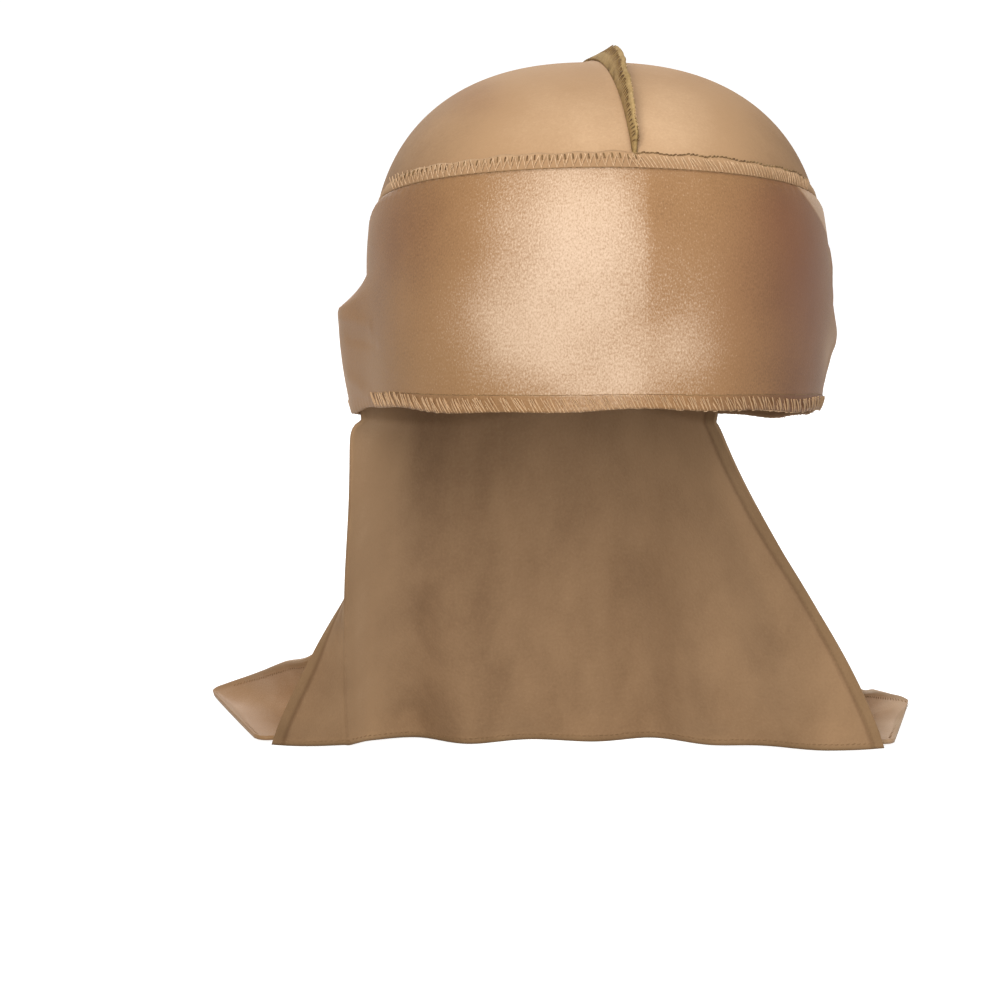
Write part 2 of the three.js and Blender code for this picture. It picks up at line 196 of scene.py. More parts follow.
def clothWall(name, surface, size, thickness, materials, paint=None, pole=False):
    # a closed wall of cloth round the surface that a function of two shares gives
    lines, rows = size["lines"], size["rows"]
    across = np.linspace(0, 1, lines + 1)
    u, v = np.meshgrid(across, np.linspace(0, 1, rows + 1), indexing="ij")
    middle, along, down, outward = surfaceFrame(surface, u, np.maximum(v, 0.004) if pole else v)
    if pole:
        middle = surface(u, v)
    half = (thickness(u, v, middle) if callable(thickness) else thickness) / 2
    half = np.broadcast_to(half, u.shape)[..., None]
    outside, inside = middle + outward * half, middle - outward * half
    if pole:
        outside[:, 0], inside[:, 0] = outside[:, 0].mean(axis=0), inside[:, 0].mean(axis=0)
    points = np.concatenate([outside.reshape(-1, 3), inside.reshape(-1, 3)])
    faces, inward = wallFaces(lines, rows)
    sides = inward if len(materials) > 1 else None
    piece = plainMesh(name, points, faces, materials, sides)
    mesh = piece.data
    for attribute, values in (paint(u, v, middle) if paint else {}).items():
        both = np.tile(np.broadcast_to(values, u.shape).ravel(), 2).astype(np.float32)
        mesh.attributes.new(attribute, "FLOAT", "POINT").data.foreach_set("value", both)
    writeUv(mesh, u, v, middle)
    if pole:
        closePole(mesh)
    return piece


def arcLengths(middle):
    # how far each point of a grid lies from its first line and from its first row
    across = np.linalg.norm(np.diff(middle, axis=0), axis=-1)
    down = np.linalg.norm(np.diff(middle, axis=1), axis=-1)
    fromLine = np.concatenate([np.zeros((1, middle.shape[1])), np.cumsum(across, axis=0)])
    fromRow = np.concatenate([np.zeros((middle.shape[0], 1)), np.cumsum(down, axis=1)], axis=1)
    return fromLine, fromRow


def writeUv(mesh, u, v, middle):
    # metres along and down the cloth, so that a grain keeps its scale
    fromLine, fromRow = arcLengths(middle)
    wide = fromLine[-1].mean()
    flat = np.stack([u * wide * mm, fromRow * mm], axis=-1).reshape(-1, 2)
    both = np.concatenate([flat, flat])
    corners = np.empty(len(mesh.loops), dtype=np.int32)
    mesh.loops.foreach_get("vertex_index", corners)
    mesh.uv_layers.new(name="cloth").data.foreach_set("uv", both[corners].ravel().astype(np.float32))


def closePole(mesh):
    work = bmesh.new()
    work.from_mesh(mesh)
    bmesh.ops.remove_doubles(work, verts=work.verts, dist=1e-7)
    bmesh.ops.dissolve_degenerate(work, edges=work.edges, dist=1e-7)
    work.to_mesh(mesh)
    work.free()


def finished(piece, slot, nodes=()):
    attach(piece, "root")
    if nodes:
        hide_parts(*nodes)
    return piece


# Materials

def operator(operation, reflected=False):
    def apply(self, other):
        pair = (other, self) if reflected else (self, other)
        return self.shader.make("Math", {"operation": operation}, *pair)
    return apply


class Value:  # a number that a node gives, which takes part in sums
    def __init__(self, shader, socket):
        self.shader = shader
        self.socket = socket

    __add__, __radd__ = operator("ADD"), operator("ADD", True)
    __sub__, __rsub__ = operator("SUBTRACT"), operator("SUBTRACT", True)
    __mul__, __rmul__ = operator("MULTIPLY"), operator("MULTIPLY", True)


def addNode(tree, kind, settings, values, named):
    # settings come first; values go to the sockets in turn, named ones by name, None is skipped
    node = tree.nodes.new(kind)
    for key, setting in settings.items():
        setattr(node, key, setting)
    for place, value in [*enumerate(values), *named.items()]:
        socket = node.inputs[place.replace("_", " ") if isinstance(place, str) else place]
        value = value.socket if isinstance(value, Value) else value
        if isinstance(value, bpy.types.NodeSocket):
            tree.links.new(value, socket)
        elif value is not None:
            socket.default_value = value
    return node


def linear(red, green, blue):
    # a colour named by its 0 to 255 screen values
    shares = np.array([red, green, blue]) / 255
    values = np.where(shares <= 0.04045, shares / 12.92, ((shares + 0.055) / 1.055) ** 2.4)
    return (*values.tolist(), 1.0)


class Shader:
    def __init__(self, name):
        self.material = bpy.data.materials.new(name)
        self.material.use_nodes = True
        self.tree = self.material.node_tree
        self.tree.nodes.clear()

    def make(self, kind, settings, *values, output=0, **named):
        node = addNode(self.tree, "ShaderNode" + kind, settings, values, named)
        return Value(self, node.outputs[output])

    def attribute(self, name):
        return self.make("Attribute", {"attribute_name": name}, output="Fac")

    def place(self, source, stretch=(1, 1, 1)):
        # "Object" for the piece's own axes, "UV" for metres along the cloth
        given = self.make("TexCoord", {}, output=source)
        return self.make("Mapping", {}, given, Scale=stretch)

    def noise(self, place, grain, detail=2.0, roughness=0.5):
        # grain is the size of a speck in metres
        return self.make("TexNoise", {}, place, Scale=0.6 / grain, Detail=detail, Roughness=roughness)

    def ramp(self, value, low, high):
        return self.make("MapRange", {"interpolation_type": "SMOOTHSTEP"}, value, low, high, 0.0, 1.0)

    def blend(self, factor, first, second):
        settings = {"data_type": "RGBA", "clamp_factor": True}
        skipped = [None] * 5  # sockets of the node's other data types
        return self.make("Mix", settings, factor, *skipped, first, second, output=2)

    def bump(self, height, strength, distance):
        return self.make("Bump", {}, Height=height, Strength=strength, Distance=distance)

    def finish(self, colour, roughness, normal=None, **more):
        surface = self.make(
            "BsdfPrincipled", {}, Base_Color=colour, Roughness=roughness, Normal=normal, **more)
        addNode(self.tree, "ShaderNodeOutputMaterial", {}, [surface], {})
        return self.material


velvetLook = {
    "dark": (92, 62, 38), "middle": (148, 110, 72), "light": (206, 177, 149),
    "red": (128, 80, 52), "olive": (128, 103, 62),
    "grain": 0.0003, "patch": 0.012, "roughness": 0.55, "fleck": 0.90, "mottle": 0.20,
    "paintedGlint": 0.13, "sheen": 0.10, "sheenRoughness": 0.3,
}
backLook = {  # the velvet's knitted back, worn outside on the crown and the flap
    "dark": (112, 82, 54), "middle": (168, 133, 97), "light": (212, 178, 142),
    "red": (158, 118, 84), "olive": (142, 116, 76),
    "grain": 0.0005, "patch": 0.012, "roughness": 0.85, "fleck": 0.40, "mottle": 0.17,
    "paintedGlint": 0.05, "sheen": 0.06, "sheenRoughness": 0.4,
}
flapLook = {**backLook, "mottle": 0.30, "patch": 0.010, "streak": (1, 1, 0.4)}


def clothMaterial(name, look, source, shade=0.0):
    # velvet or its back: a grain along the cloth with painted glints, brushed patches, and the painted
    # light, shade and tone that each piece gives it
    shader = Shader(name)
    grainPlace = shader.place(source, (1, 1, 0.6) if source == "Object" else (1, 0.6, 1))
    patchPlace = shader.place("Object", look.get("streak", (1, 1, 1)))
    fine = shader.noise(grainPlace, look["grain"], 3.0, 0.65)
    coarse = shader.noise(grainPlace, look["grain"] * 3.2, 2.0)
    patch = shader.noise(patchPlace, look["patch"], 2.0)
    drift = shader.noise(patchPlace, look["patch"] * 2.3, 1.0)
    # painted highlights and painted shade, with some of the cloth's own tones, as each piece paints them
    nap = shader.attribute("nap")
    warm = shader.attribute("warm")
    grainy = 0.4 + 0.6 * shader.attribute("grainy")
    speck = look["fleck"] * (fine - 0.5) + 0.14 * (coarse - 0.5)
    # painted glints: the brightest specks of the grain are lightened
    speck = speck + look["paintedGlint"] * shader.ramp(fine, 0.58, 0.75)
    tone = 0.5 - shade + nap + look["mottle"] * (patch - 0.5) + grainy * speck
    colour = shader.blend(
        shader.ramp(tone, 0.0, 0.55), linear(*look["dark"]), linear(*look["middle"]))
    colour = shader.blend(shader.ramp(tone, 0.5, 1.05), colour, linear(*look["light"]))
    warmth = warm + 0.35 * (drift - 0.5)
    colour = shader.blend(shader.ramp(warmth, 0.0, 1.0) * 0.75, colour, linear(*look["red"]))
    colour = shader.blend(shader.ramp(0 - warmth, 0.0, 1.0) * 0.6, colour, linear(*look["olive"]))
    rough = look["roughness"] + 0.16 * (fine - 0.5) - 0.10 * nap
    height = shader.bump(fine + 0.6 * coarse, 0.28, 0.00035)
    return shader.finish(
        colour, rough, height, Sheen_Weight=look["sheen"], Sheen_Roughness=look["sheenRoughness"],
        Sheen_Tint=linear(226, 190, 150), Specular_IOR_Level=0.22)


def threadMaterial(name, base, other):
    # twisted sewing thread
    shader = Shader(name)
    place = shader.place("Object")
    twist = shader.noise(place, 0.0005, 2.0)
    length = shader.noise(place, 0.006, 1.0)
    tone = shader.ramp(0.7 * twist + 0.5 * length, 0.35, 0.85)
    colour = shader.blend(tone, linear(*other), linear(*base))
    return shader.finish(
        colour, 0.55 + 0.3 * twist, shader.bump(twist, 0.3, 0.0001), Specular_IOR_Level=0.2)


def allowanceMaterial():
    # raw cloth edge packed with thread: olive, fibrous and matte
    shader = Shader("overlockedEdge")
    place = shader.place("Object")
    fibre = shader.noise(place, 0.0007, 3.0, 0.7)
    clump = shader.noise(place, 0.0035, 2.0)
    tone = 0.6 * fibre + 0.5 * clump + 0.4 * shader.attribute("nap")
    colour = shader.blend(shader.ramp(tone, 0.25, 0.6), linear(100, 77, 44), linear(158, 130, 84))
    colour = shader.blend(shader.ramp(tone, 0.55, 0.95), colour, linear(190, 160, 112))
    height = shader.bump(fibre + 0.5 * clump, 0.6, 0.0005)
    return shader.finish(colour, 0.85 + 0.1 * fibre, height, Specular_IOR_Level=0.12)


# shade makes a darker copy of a look, painted shade, for the faces turned in; a negative shade makes a
# lighter copy, painted light, for the strap ends
velvetBand = clothMaterial("velvetBand", velvetLook, "UV")
velvetLump = clothMaterial("velvetKnot", velvetLook, "Object")
velvetInside = clothMaterial("velvetInside", backLook, "UV", shade=0.06)
crownCloth = clothMaterial("crownCloth", backLook, "Object")
flapInside = clothMaterial("flapInside", flapLook, "UV", shade=0.10)
flapOutside = clothMaterial("flapOutside", flapLook, "UV")
strapCloth = clothMaterial("strapCloth", velvetLook, "UV", shade=-0.12)
threadTones = {
    "pale": (214, 181, 145), "hem": (196, 160, 121), "tan": (178, 142, 104), "soft": (148, 117, 82),
    "olive": (140, 114, 74), "shade": (118, 91, 60), "dark": (92, 64, 40),
}
threads = {
    base: threadMaterial(base + "Thread", threadTones[base], threadTones[other])
    for base, other in (
        ("pale", "tan"), ("hem", "tan"), ("dark", "olive"), ("olive", "dark"), ("soft", "shade"))}
edgeCloth = allowanceMaterial()
print("materials made")


# Stitches

def stitchTree():
    # threads of one shape along a rail, which says at each point which way is across and out
    tree = bpy.data.node_groups.new("stitchRow", "GeometryNodeTree")
    tree.interface.new_socket("Geometry", in_out="OUTPUT", socket_type="NodeSocketGeometry")
    inputs = [
        ("Geometry", "Geometry", None), ("Pitch", "Float", 0.0015), ("Bar Length", "Float", 0.005),
        ("Thread Radius", "Float", 0.00025), ("Arch", "Float", 0.0004), ("Slant", "Float", 0.0),
        ("Slant Spread", "Float", 0.1), ("Length Spread", "Float", 0.08), ("Seed", "Int", 1),
        ("Material", "Material", None),
    ]
    for name, kind, value in inputs:
        socket = tree.interface.new_socket(name, in_out="INPUT", socket_type="NodeSocket" + kind)
        if value is not None:
            socket.default_value = value
    given = tree.nodes.new("NodeGroupInput").outputs

    def make(kind, settings, *values, output=0, **named):
        return addNode(tree, kind, settings, values, named).outputs[output]

    def vectorOf(x, y, z):
        return make("ShaderNodeCombineXYZ", {}, x, y, z)

    def sumOf(operation, *values):
        return make("ShaderNodeMath", {"operation": operation}, *values)

    def fromRail(name):
        return make(
            "GeometryNodeInputNamedAttribute", {"data_type": "FLOAT_VECTOR"},
            output="Attribute", Name=name)

    def chance(low, high):
        return make(
            "FunctionNodeRandomValue", {"data_type": "FLOAT"}, None, None, low, high,
            output=1, Seed=given["Seed"])

    curve = make("GeometryNodeMeshToCurve", {}, given["Geometry"])
    points = make("GeometryNodeResampleCurve", {"mode": "LENGTH"}, Curve=curve, Length=given["Pitch"])
    facing = make(
        "FunctionNodeAxesToRotation", {"primary_axis": "Z", "secondary_axis": "Y"},
        Primary_Axis=fromRail("outward"), Secondary_Axis=fromRail("across"))
    slant = sumOf("MULTIPLY_ADD", chance(-1.0, 1.0), given["Slant Spread"], given["Slant"])
    turn = make("FunctionNodeAxisAngleToRotation", {}, Axis=(0, 0, 1), Angle=slant)
    facing = make(
        "FunctionNodeRotateRotation", {"rotation_space": "LOCAL"}, Rotation=facing, Rotate_By=turn)
    # one thread of unit length along Y that arches out along Z
    thread = make(
        "GeometryNodeCurvePrimitiveBezierSegment", {"mode": "POSITION"}, Resolution=6,
        Start=(0, 0, 0), Start_Handle=vectorOf(0.0, 0.25, given["Arch"]),
        End_Handle=vectorOf(0.0, 0.75, given["Arch"]), End=(0, 1, 0))
    thread = make(
        "GeometryNodeTransform", {}, Geometry=thread, Scale=vectorOf(1.0, given["Bar Length"], 1.0))
    section = make(
        "GeometryNodeCurvePrimitiveCircle", {"mode": "RADIUS"}, Resolution=6,
        Radius=given["Thread Radius"])
    bar = make("GeometryNodeCurveToMesh", {}, Curve=thread, Profile_Curve=section, Fill_Caps=True)
    shorter = sumOf("SUBTRACT", 1.0, given["Length Spread"])
    longer = sumOf("ADD", 1.0, given["Length Spread"])
    placed = make(
        "GeometryNodeInstanceOnPoints", {}, Points=points, Instance=bar, Rotation=facing,
        Scale=vectorOf(1.0, chance(shorter, longer), 1.0))
    soft = make("GeometryNodeSetShadeSmooth", {}, make("GeometryNodeRealizeInstances", {}, placed))
    dressed = make("GeometryNodeSetMaterial", {}, Geometry=soft, Material=given["Material"])
    addNode(tree, "NodeGroupOutput", {}, [dressed], {})
    return tree


stitches = stitchTree()


def stitchRow(name, rail, row):
    # rail is (points, across, outward) in millimetres; row holds the stitch's sizes
    points, across, outward = rail
    mesh = bpy.data.meshes.new(name + "Rail")
    mesh.from_pydata((points * mm).tolist(), [(k, k + 1) for k in range(len(points) - 1)], [])
    for key, values in (("across", across), ("outward", outward)):
        held = mesh.attributes.new(key, "FLOAT_VECTOR", "POINT")
        held.data.foreach_set("vector", unit(values).astype(np.float32).ravel())
    guide = linked(name + "Rail", mesh)
    modifier = guide.modifiers.new("stitches", "NODES")
    modifier.node_group = stitches
    thread = threads[row["thread"]]
    wanted = {
        "Pitch": row["pitch"] * mm, "Bar Length": row["length"] * mm,
        "Thread Radius": row["radius"] * mm, "Arch": row["arch"] * mm,
        "Slant": math.radians(row["slant"]), "Slant Spread": math.radians(row.get("spread", 6)),
        "Length Spread": row.get("uneven", 0.08), "Seed": row["seed"],
        "Material": thread,
    }
    for item in stitches.interface.items_tree:
        if item.name in wanted:
            modifier[item.identifier] = wanted[item.name]
    evaluated = guide.evaluated_get(bpy.context.evaluated_depsgraph_get())
    made = bpy.data.meshes.new_from_object(evaluated)
    made.name = name
    made.materials.clear()
    made.materials.append(thread)
    guide.modifiers.clear()
    bpy.data.objects.remove(guide)
    return linked(name, made)


def joinRows(name, rows):
    # several rows of stitches become one piece
    work = bmesh.new()
    materials = []
    for piece in rows:
        material = piece.data.materials[0]
        if material not in materials:
            materials.append(material)
        start = len(work.faces)
        work.from_mesh(piece.data)
        work.faces.ensure_lookup_table()
        for face in work.faces[start:]:
            face.material_index = materials.index(material)
        bpy.data.objects.remove(piece)
    mesh = bpy.data.meshes.new(name)
    work.to_mesh(mesh)
    work.free()
    for material in materials:
        mesh.materials.append(material)
    return finished(linked(name, mesh), "overlock")


def surfaceRail(surface, u, v, lift, turned=1):
    # a rail on one side of a sheet: turned is 1 on its outside and -1 on its inside
    point, along, down, outward = surfaceFrame(surface, u, v)
    return point + outward * lift * turned, -down, outward * turned


# Forehead band

band = {
    "top": 29.7, "topFall": 42, "height": 75.3, "hemFall": 28,
    "gathered": 46, "gatherFrom": 145, "drawnIn": 0.46, "drawnFrom": 158, "arcRadius": 82,
    "earSwell": 11, "pleatDepth": 1.6, "pleats": 3, "hemWidth": 5.4, "hemRise": 0.35,
    "lines": 430, "rows": 78,
}
doubledFlap = {"start": -96, "full": -106, "until": -144, "end": -158}
swells = table(
    "azimuth level rise forward backward above below flank",
    (-96, 0.43, 1.00, 20, 34, 0.12, 0.98, "straight"),
    (97, 0.46, 0.38, 24, 30, 0.22, 0.34, "round"),
    (92, 0.55, 0.18, 14, 16, 0.07, 0.09, "round"))
# soft creases in the band: both ends by azimuth and level, width and height in millimetres
bandCreases = table(
    "ends width height",
    (((-92, 0.50), (-66, 0.60)), 2.6, 0.9),
    (((-88, 0.62), (-62, 0.70)), 2.2, -0.6),
    (((-90, 0.80), (-70, 0.93)), 3.0, 0.6),
    (((90, 0.62), (74, 0.84)), 2.4, 0.8),
    (((84, 0.16), (76, 0.36)), 2.4, 0.7),
    (((92, 0.36), (78, 0.52)), 2.2, -0.6),
    (((-140, 0.2), (-108, 0.46)), 5.0, 1.0),
    (((-150, 0.8), (-118, 0.62)), 4.0, 0.8),
    (((142, 0.25), (112, 0.5)), 5.0, 1.0),
    (((152, 0.78), (116, 0.66)), 4.0, 0.9))


def bandEdges(azimuth):
    back = rearward(azimuth)
    top = -band["top"] - band["topFall"] * back
    hem = -band["top"] - band["height"] - band["hemFall"] * back
    gather = smooth(np.abs(wrapped(azimuth)), band["gatherFrom"], 180)
    middle = (top + hem) / 2
    return (mix(top, middle + band["gathered"] / 2, gather),
            mix(hem, middle - band["gathered"] / 2, gather))


def drawnIn(azimuth, z):
    # both edges run together into the knot
    middle = sum(bandEdges(azimuth)) / 2
    share = 1 - band["drawnIn"] * smooth(np.abs(wrapped(azimuth)), band["drawnFrom"], 179)
    return middle + (z - middle) * share


templeDips = table("azimuth depth width", (-90, 3.4, 13), (90, 1.6, 12))


def topDip(azimuth):
    # the top edge sinks a little where the seam passes over the temples
    return sum(dip["depth"] * bell((azimuth - dip["azimuth"]) / dip["width"]) for dip in templeDips)


def bandLift(azimuth, z):
    turn = wrapped(azimuth)
    top, hem = bandEdges(turn)
    doubled = (smooth(-turn, -doubledFlap["start"], -doubledFlap["full"])
               * (1 - smooth(-turn, -doubledFlap["until"], -doubledFlap["end"])))
    lift = layer * (1 + doubled)
    for swell in swells:
        behind = np.abs(turn) > abs(swell["azimuth"])
        across = (turn - swell["azimuth"]) / np.where(behind, swell["backward"], swell["forward"])
        depth = (top - z) / band["height"] - swell["level"]
        height = np.where(depth < 0, swell["above"], swell["below"])
        upDown = bell(depth / height)
        if swell["flank"] == "straight":
            upDown = np.where(depth < 0, np.clip(1 + depth / height, 0, 1) ** 1.1, upDown)
        bump = swell["rise"] * band["earSwell"] * bell(across) * upDown
        lift = lift + np.where(turn * swell["azimuth"] > 0, bump, 0)
    return lift


def creaseLift(azimuth, level):
    # creases are straight in millimetres along and down the band
    scale = np.array([math.radians(form["paintBreadth"]), band["height"]])
    here = np.stack([azimuth, level], axis=-1) * scale
    lift = 0
    for crease in bandCreases:
        start, end = (np.array(place) * scale for place in crease["ends"])
        way = end - start
        share = np.clip(((here - start) @ way) / (way @ way), 0, 1)
        off = np.linalg.norm(here - start - share[..., None] * way, axis=-1)
        fade = smooth(share, 0, 0.25) * (1 - 0.7 * smooth(share, 0.6, 1))
        lift = lift + crease["height"] * bell(off / crease["width"]) * (0.25 + 0.75 * fade)
    return lift


def bandSurface(u, v):
    azimuth = mix(-bandEnd, bandEnd, u)
    top, hem = bandEdges(azimuth)
    arc = np.radians(azimuth) * band["arcRadius"]
    hemWave = 0.7 * np.sin(arc / 17 + 0.6) + 0.35 * np.sin(arc / 6.1)
    z = mix(top, hem, v) + hemWave * smooth(v, 0.9, 1) * (1 - smooth(np.abs(azimuth), 150, 175))
    z = drawnIn(azimuth, z - topDip(azimuth) * (1 - smooth(v, 0.0, 0.3)))
    gather = smooth(np.abs(azimuth), band["gatherFrom"], 180)
    pleats = band["pleatDepth"] * gather * (1 - np.cos(2 * np.pi * band["pleats"] * v)) / 2
    toHem = (1 - v) * band["height"]
    toTop = v * band["height"]
    pucker = 0.16 * np.sin(arc / 0.62) * bell(toHem / 3.0)
    pucker = pucker + 0.14 * np.sin(arc / 0.7) * bell(toTop / 3.0)
    rolled = -0.75 * bell(toTop / 1.1) - 0.25 * bell(toHem / 0.9)
    tension = 0.18 * np.sin(arc / 9 + 5 * v) * np.sin(np.pi * v)
    fan = 0.55 * np.sin(2 * np.pi * (5.5 * v + 0.2)) * smooth(np.abs(azimuth), 152, 172)
    fan = fan * np.sin(np.pi * v)
    lift = bandLift(azimuth, z) - layer + pleats + creaseLift(azimuth, v) + pucker + rolled + tension
    lift = lift + fan
    return onForm(azimuth, z, layer + fabric["room"] / 2, lift)


# painted highlights and painted shade on the band, some warmer or more olive: across as a share of its
# half-breadth, level down it
bandLightAndShade = table(
    "across level left right high tone warm",
    (-0.12, 0.50, 0.40, 0.36, 0.90, 0.34, -0.05),
    (0.02, 0.18, 0.30, 0.12, 0.30, 0.12, 0.0),
    (-0.26, 0.97, 0.26, 0.12, 0.10, -0.11, -0.1),
    (-0.42, 0.66, 0.24, 0.24, 0.24, 0.16, 0.0),
    (0.07, 0.86, 0.13, 0.12, 0.15, 0.14, 0.0),
    (0.19, 0.26, 0.03, 0.12, 0.34, -0.15, 0.1),
    (0.32, 0.72, 0.16, 0.20, 0.26, 0.20, 0.0),
    (0.55, 0.45, 0.20, 0.26, 0.60, -0.06, 0.30),
    (0.86, 0.40, 0.20, 0.16, 0.55, -0.34, 0.70),
    (0.70, 0.12, 0.18, 0.14, 0.18, -0.12, 0.2),
    (0.82, 0.92, 0.26, 0.30, 0.18, -0.14, 0.15),
    (-0.82, 0.20, 0.20, 0.30, 0.34, -0.22, 0.40),
    (-0.70, 0.80, 0.36, 0.30, 0.26, -0.08, -0.30),
    (0.99, 0.72, 0.06, 0.20, 0.14, 0.16, -0.2),
    (-0.98, 0.58, 0.20, 0.12, 0.16, -0.06, 0.15))
# a painted highlight on a pale sliver under the right end of the seam
highlightSliver = {"from": 63.0, "slope": 82, "until": (0.14, 0.18), "tone": 0.52, "warm": -0.3}


def patchPaint(patches, across, level, front):
    nap, warm = np.zeros(across.shape), np.zeros(across.shape)
    for patch in patches:
        off = across - patch["across"]
        width = np.where(off < 0, patch["left"], patch["right"])
        share = bell(off / width) * bell((level - patch["level"]) / patch["high"]) * front
        nap += patch["tone"] * share
        warm += patch["warm"] * share
    return nap, warm


def bandPaint(u, v, middle):
    front = smooth(-middle[..., 1], -30, 18)
    across = middle[..., 0] / form["paintBreadth"]
    # painted highlights and painted shade from the table
    nap, warm = patchPaint(bandLightAndShade, across, v, front)
    hem = smooth(v, 1 - 5.6 / band["height"], 1 - 5.0 / band["height"])
    hem = hem * smooth(middle[..., 0], -78, -74)
    grainy = bell((across + 0.05) / 0.85) * front
    # the painted highlight on the pale sliver
    turned = smooth(middle[..., 0] - highlightSliver["slope"] * v, highlightSliver["from"] - 0.7, highlightSliver["from"] + 0.7)
    turned = turned * (1 - smooth(v, *highlightSliver["until"])) * smooth(-middle[..., 1], -25, -5)
    nap = nap - 0.12 * hem + highlightSliver["tone"] * turned
    return {"nap": nap, "warm": warm + highlightSliver["warm"] * turned, "grainy": grainy * (1 - 0.5 * hem)}


def bandThickness(u, v, middle):
    pastHem = (1 - v) * band["height"] - band["hemWidth"]
    return fabric["thickness"] + band["hemRise"] * (1 - smooth(pastHem, -0.6, 0.4))


foreheadBand = clothWall(
    "foreheadBand", bandSurface, band, bandThickness, [velvetBand, velvetInside], bandPaint)
print("forehead band made", len(foreheadBand.data.polygons))

# Crown

crown = {
    "seamTurn": 6.8, "tuck": 5, "sewnTo": 92, "turnedDownAt": 112, "sideShade": 0.27,
    "lines": 150, "rows": 110,
}
flap = {
    "tuck": 20, "leave": 3, "halfSpread": 122, "reach": 118, "covered": 3 / 14,
    "alongNape": 0.06, "alongChord": 0.24, "landFlare": 0.10, "landChord": 0.20, "flareRun": 0.4,
    "billowFade": 2.2, "billowStart": 60, "lines": 270, "rows": 120,
    "hemWidth": 4.2, "bottomHem": 2.4, "hemRise": 0.6,
}
seamAngle = math.radians(crown["seamTurn"])
seamSide = np.array([math.cos(seamAngle), math.sin(seamAngle), 0])
# darker, redder spots and painted highlights on the front of the crown
crownSpotsAndHighlights = table(
    "across level left right high tone warm",
    (-0.54, 0.30, 0.14, 0.16, 0.24, -0.15, 0.5),
    (0.42, 0.10, 0.16, 0.22, 0.12, -0.08, 0.25),
    (-0.10, 0.62, 0.30, 0.26, 0.50, 0.16, 0.0),
    (0.26, 0.55, 0.30, 0.26, 0.60, 0.21, 0.0))


def flapTop(azimuth):
    return bandEdges(azimuth)[1] + flap["tuck"]


def crownEdge(azimuth):
    down = smooth(np.abs(wrapped(azimuth)), crown["sewnTo"], crown["turnedDownAt"])
    return mix(bandEdges(azimuth)[0] - crown["tuck"], flapTop(azimuth) + fabric["gap"], down)


def crownSurface(side):
    def surface(u, v):
        share = u if side > 0 else 1 - u  # from either side, so that faces point out
        azimuth = crown["seamTurn"] + side * 180 * share
        offset = fabric["room"] / 2
        point = onDome(azimuth, polarAt(azimuth, crownEdge(azimuth), offset) * v, offset)
        toSeam = point @ seamSide
        shift = side * 0.12 * bell(toSeam / 6)
        ridge = 0.55 * bell(toSeam / 2.2)
        centre = np.array([0, 0, -form["crownRise"]])
        return point + shift[..., None] * seamSide + unit(point - centre) * ridge[..., None]
    return surface


def crownPaint(u, v, middle):
    front = smooth(-middle[..., 1], -30, 10)
    level = -middle[..., 2] / band["top"]
    across = middle[..., 0] / form["paintBreadth"]
    nap, warm = patchPaint(crownSpotsAndHighlights, across, level, front)
    # painted shade down both sides of the crown's front, fading out behind
    side = smooth(np.abs(across), 0.35, 0.95) * (1 - smooth(middle[..., 1], -5, 35))
    return {"nap": nap - crown["sideShade"] * side, "warm": warm}


crownPanels = [
    clothWall(name, crownSurface(side), crown, fabric["thickness"], [crownCloth, velvetInside],
              crownPaint, pole=True)
    for side, name in ((-1, "crownPanelLeft"), (1, "crownPanelRight"))]
print("crown made")

# Allowance of the seam between band and crown, folded up on the crown

allowance = {
    "height": 4.6, "thickness": 1.2, "clear": 0.25, "taper": (54, 82), "slimmest": 0.45, "sink": 1.25,
    "lines": 420, "rows": 8,
}


def allowanceSurface(u, v):
    azimuth = mix(-crown["sewnTo"], crown["sewnTo"], u)
    arc = np.radians(azimuth) * form["paintBreadth"]
    edge = 0.25 * np.sin(arc / 1.9) + 0.2 * np.sin(arc / 5.3 + 1)
    taper = 1 - smooth(np.abs(azimuth), *allowance["taper"])
    z = bandEdges(azimuth)[0] - topDip(azimuth) + allowance["clear"]
    z = z + (allowance["height"] + edge) * (1 - v) * mix(allowance["slimmest"], 1, taper)
    puff = 0.12 * np.sin(arc / 0.6) * (1 - v) - 0.35 * bell(v / 0.12) - 0.4 * bell((1 - v) / 0.12)
    puff = puff - allowance["sink"] * (1 - taper)
    return onForm(azimuth, z, layer + allowance["thickness"] / 2, puff)


allowanceStrip = clothWall(
    "bandSeamAllowance", allowanceSurface, allowance, allowance["thickness"] - 0.2,
    [crownCloth], lambda u, v, middle: {"nap": 0.12 - 0.25 * v})

# Centre seam: the overlocked allowance that stands along the crown

seam = {
    "height": 7.5, "thickness": 1.25, "leanAtBrow": 2, "leanOnTop": 34, "leanBehind": 66,
    "tips": (0.10, 0.34), "liesDown": (0.31, 0.41), "lines": 420, "rows": 14,
}


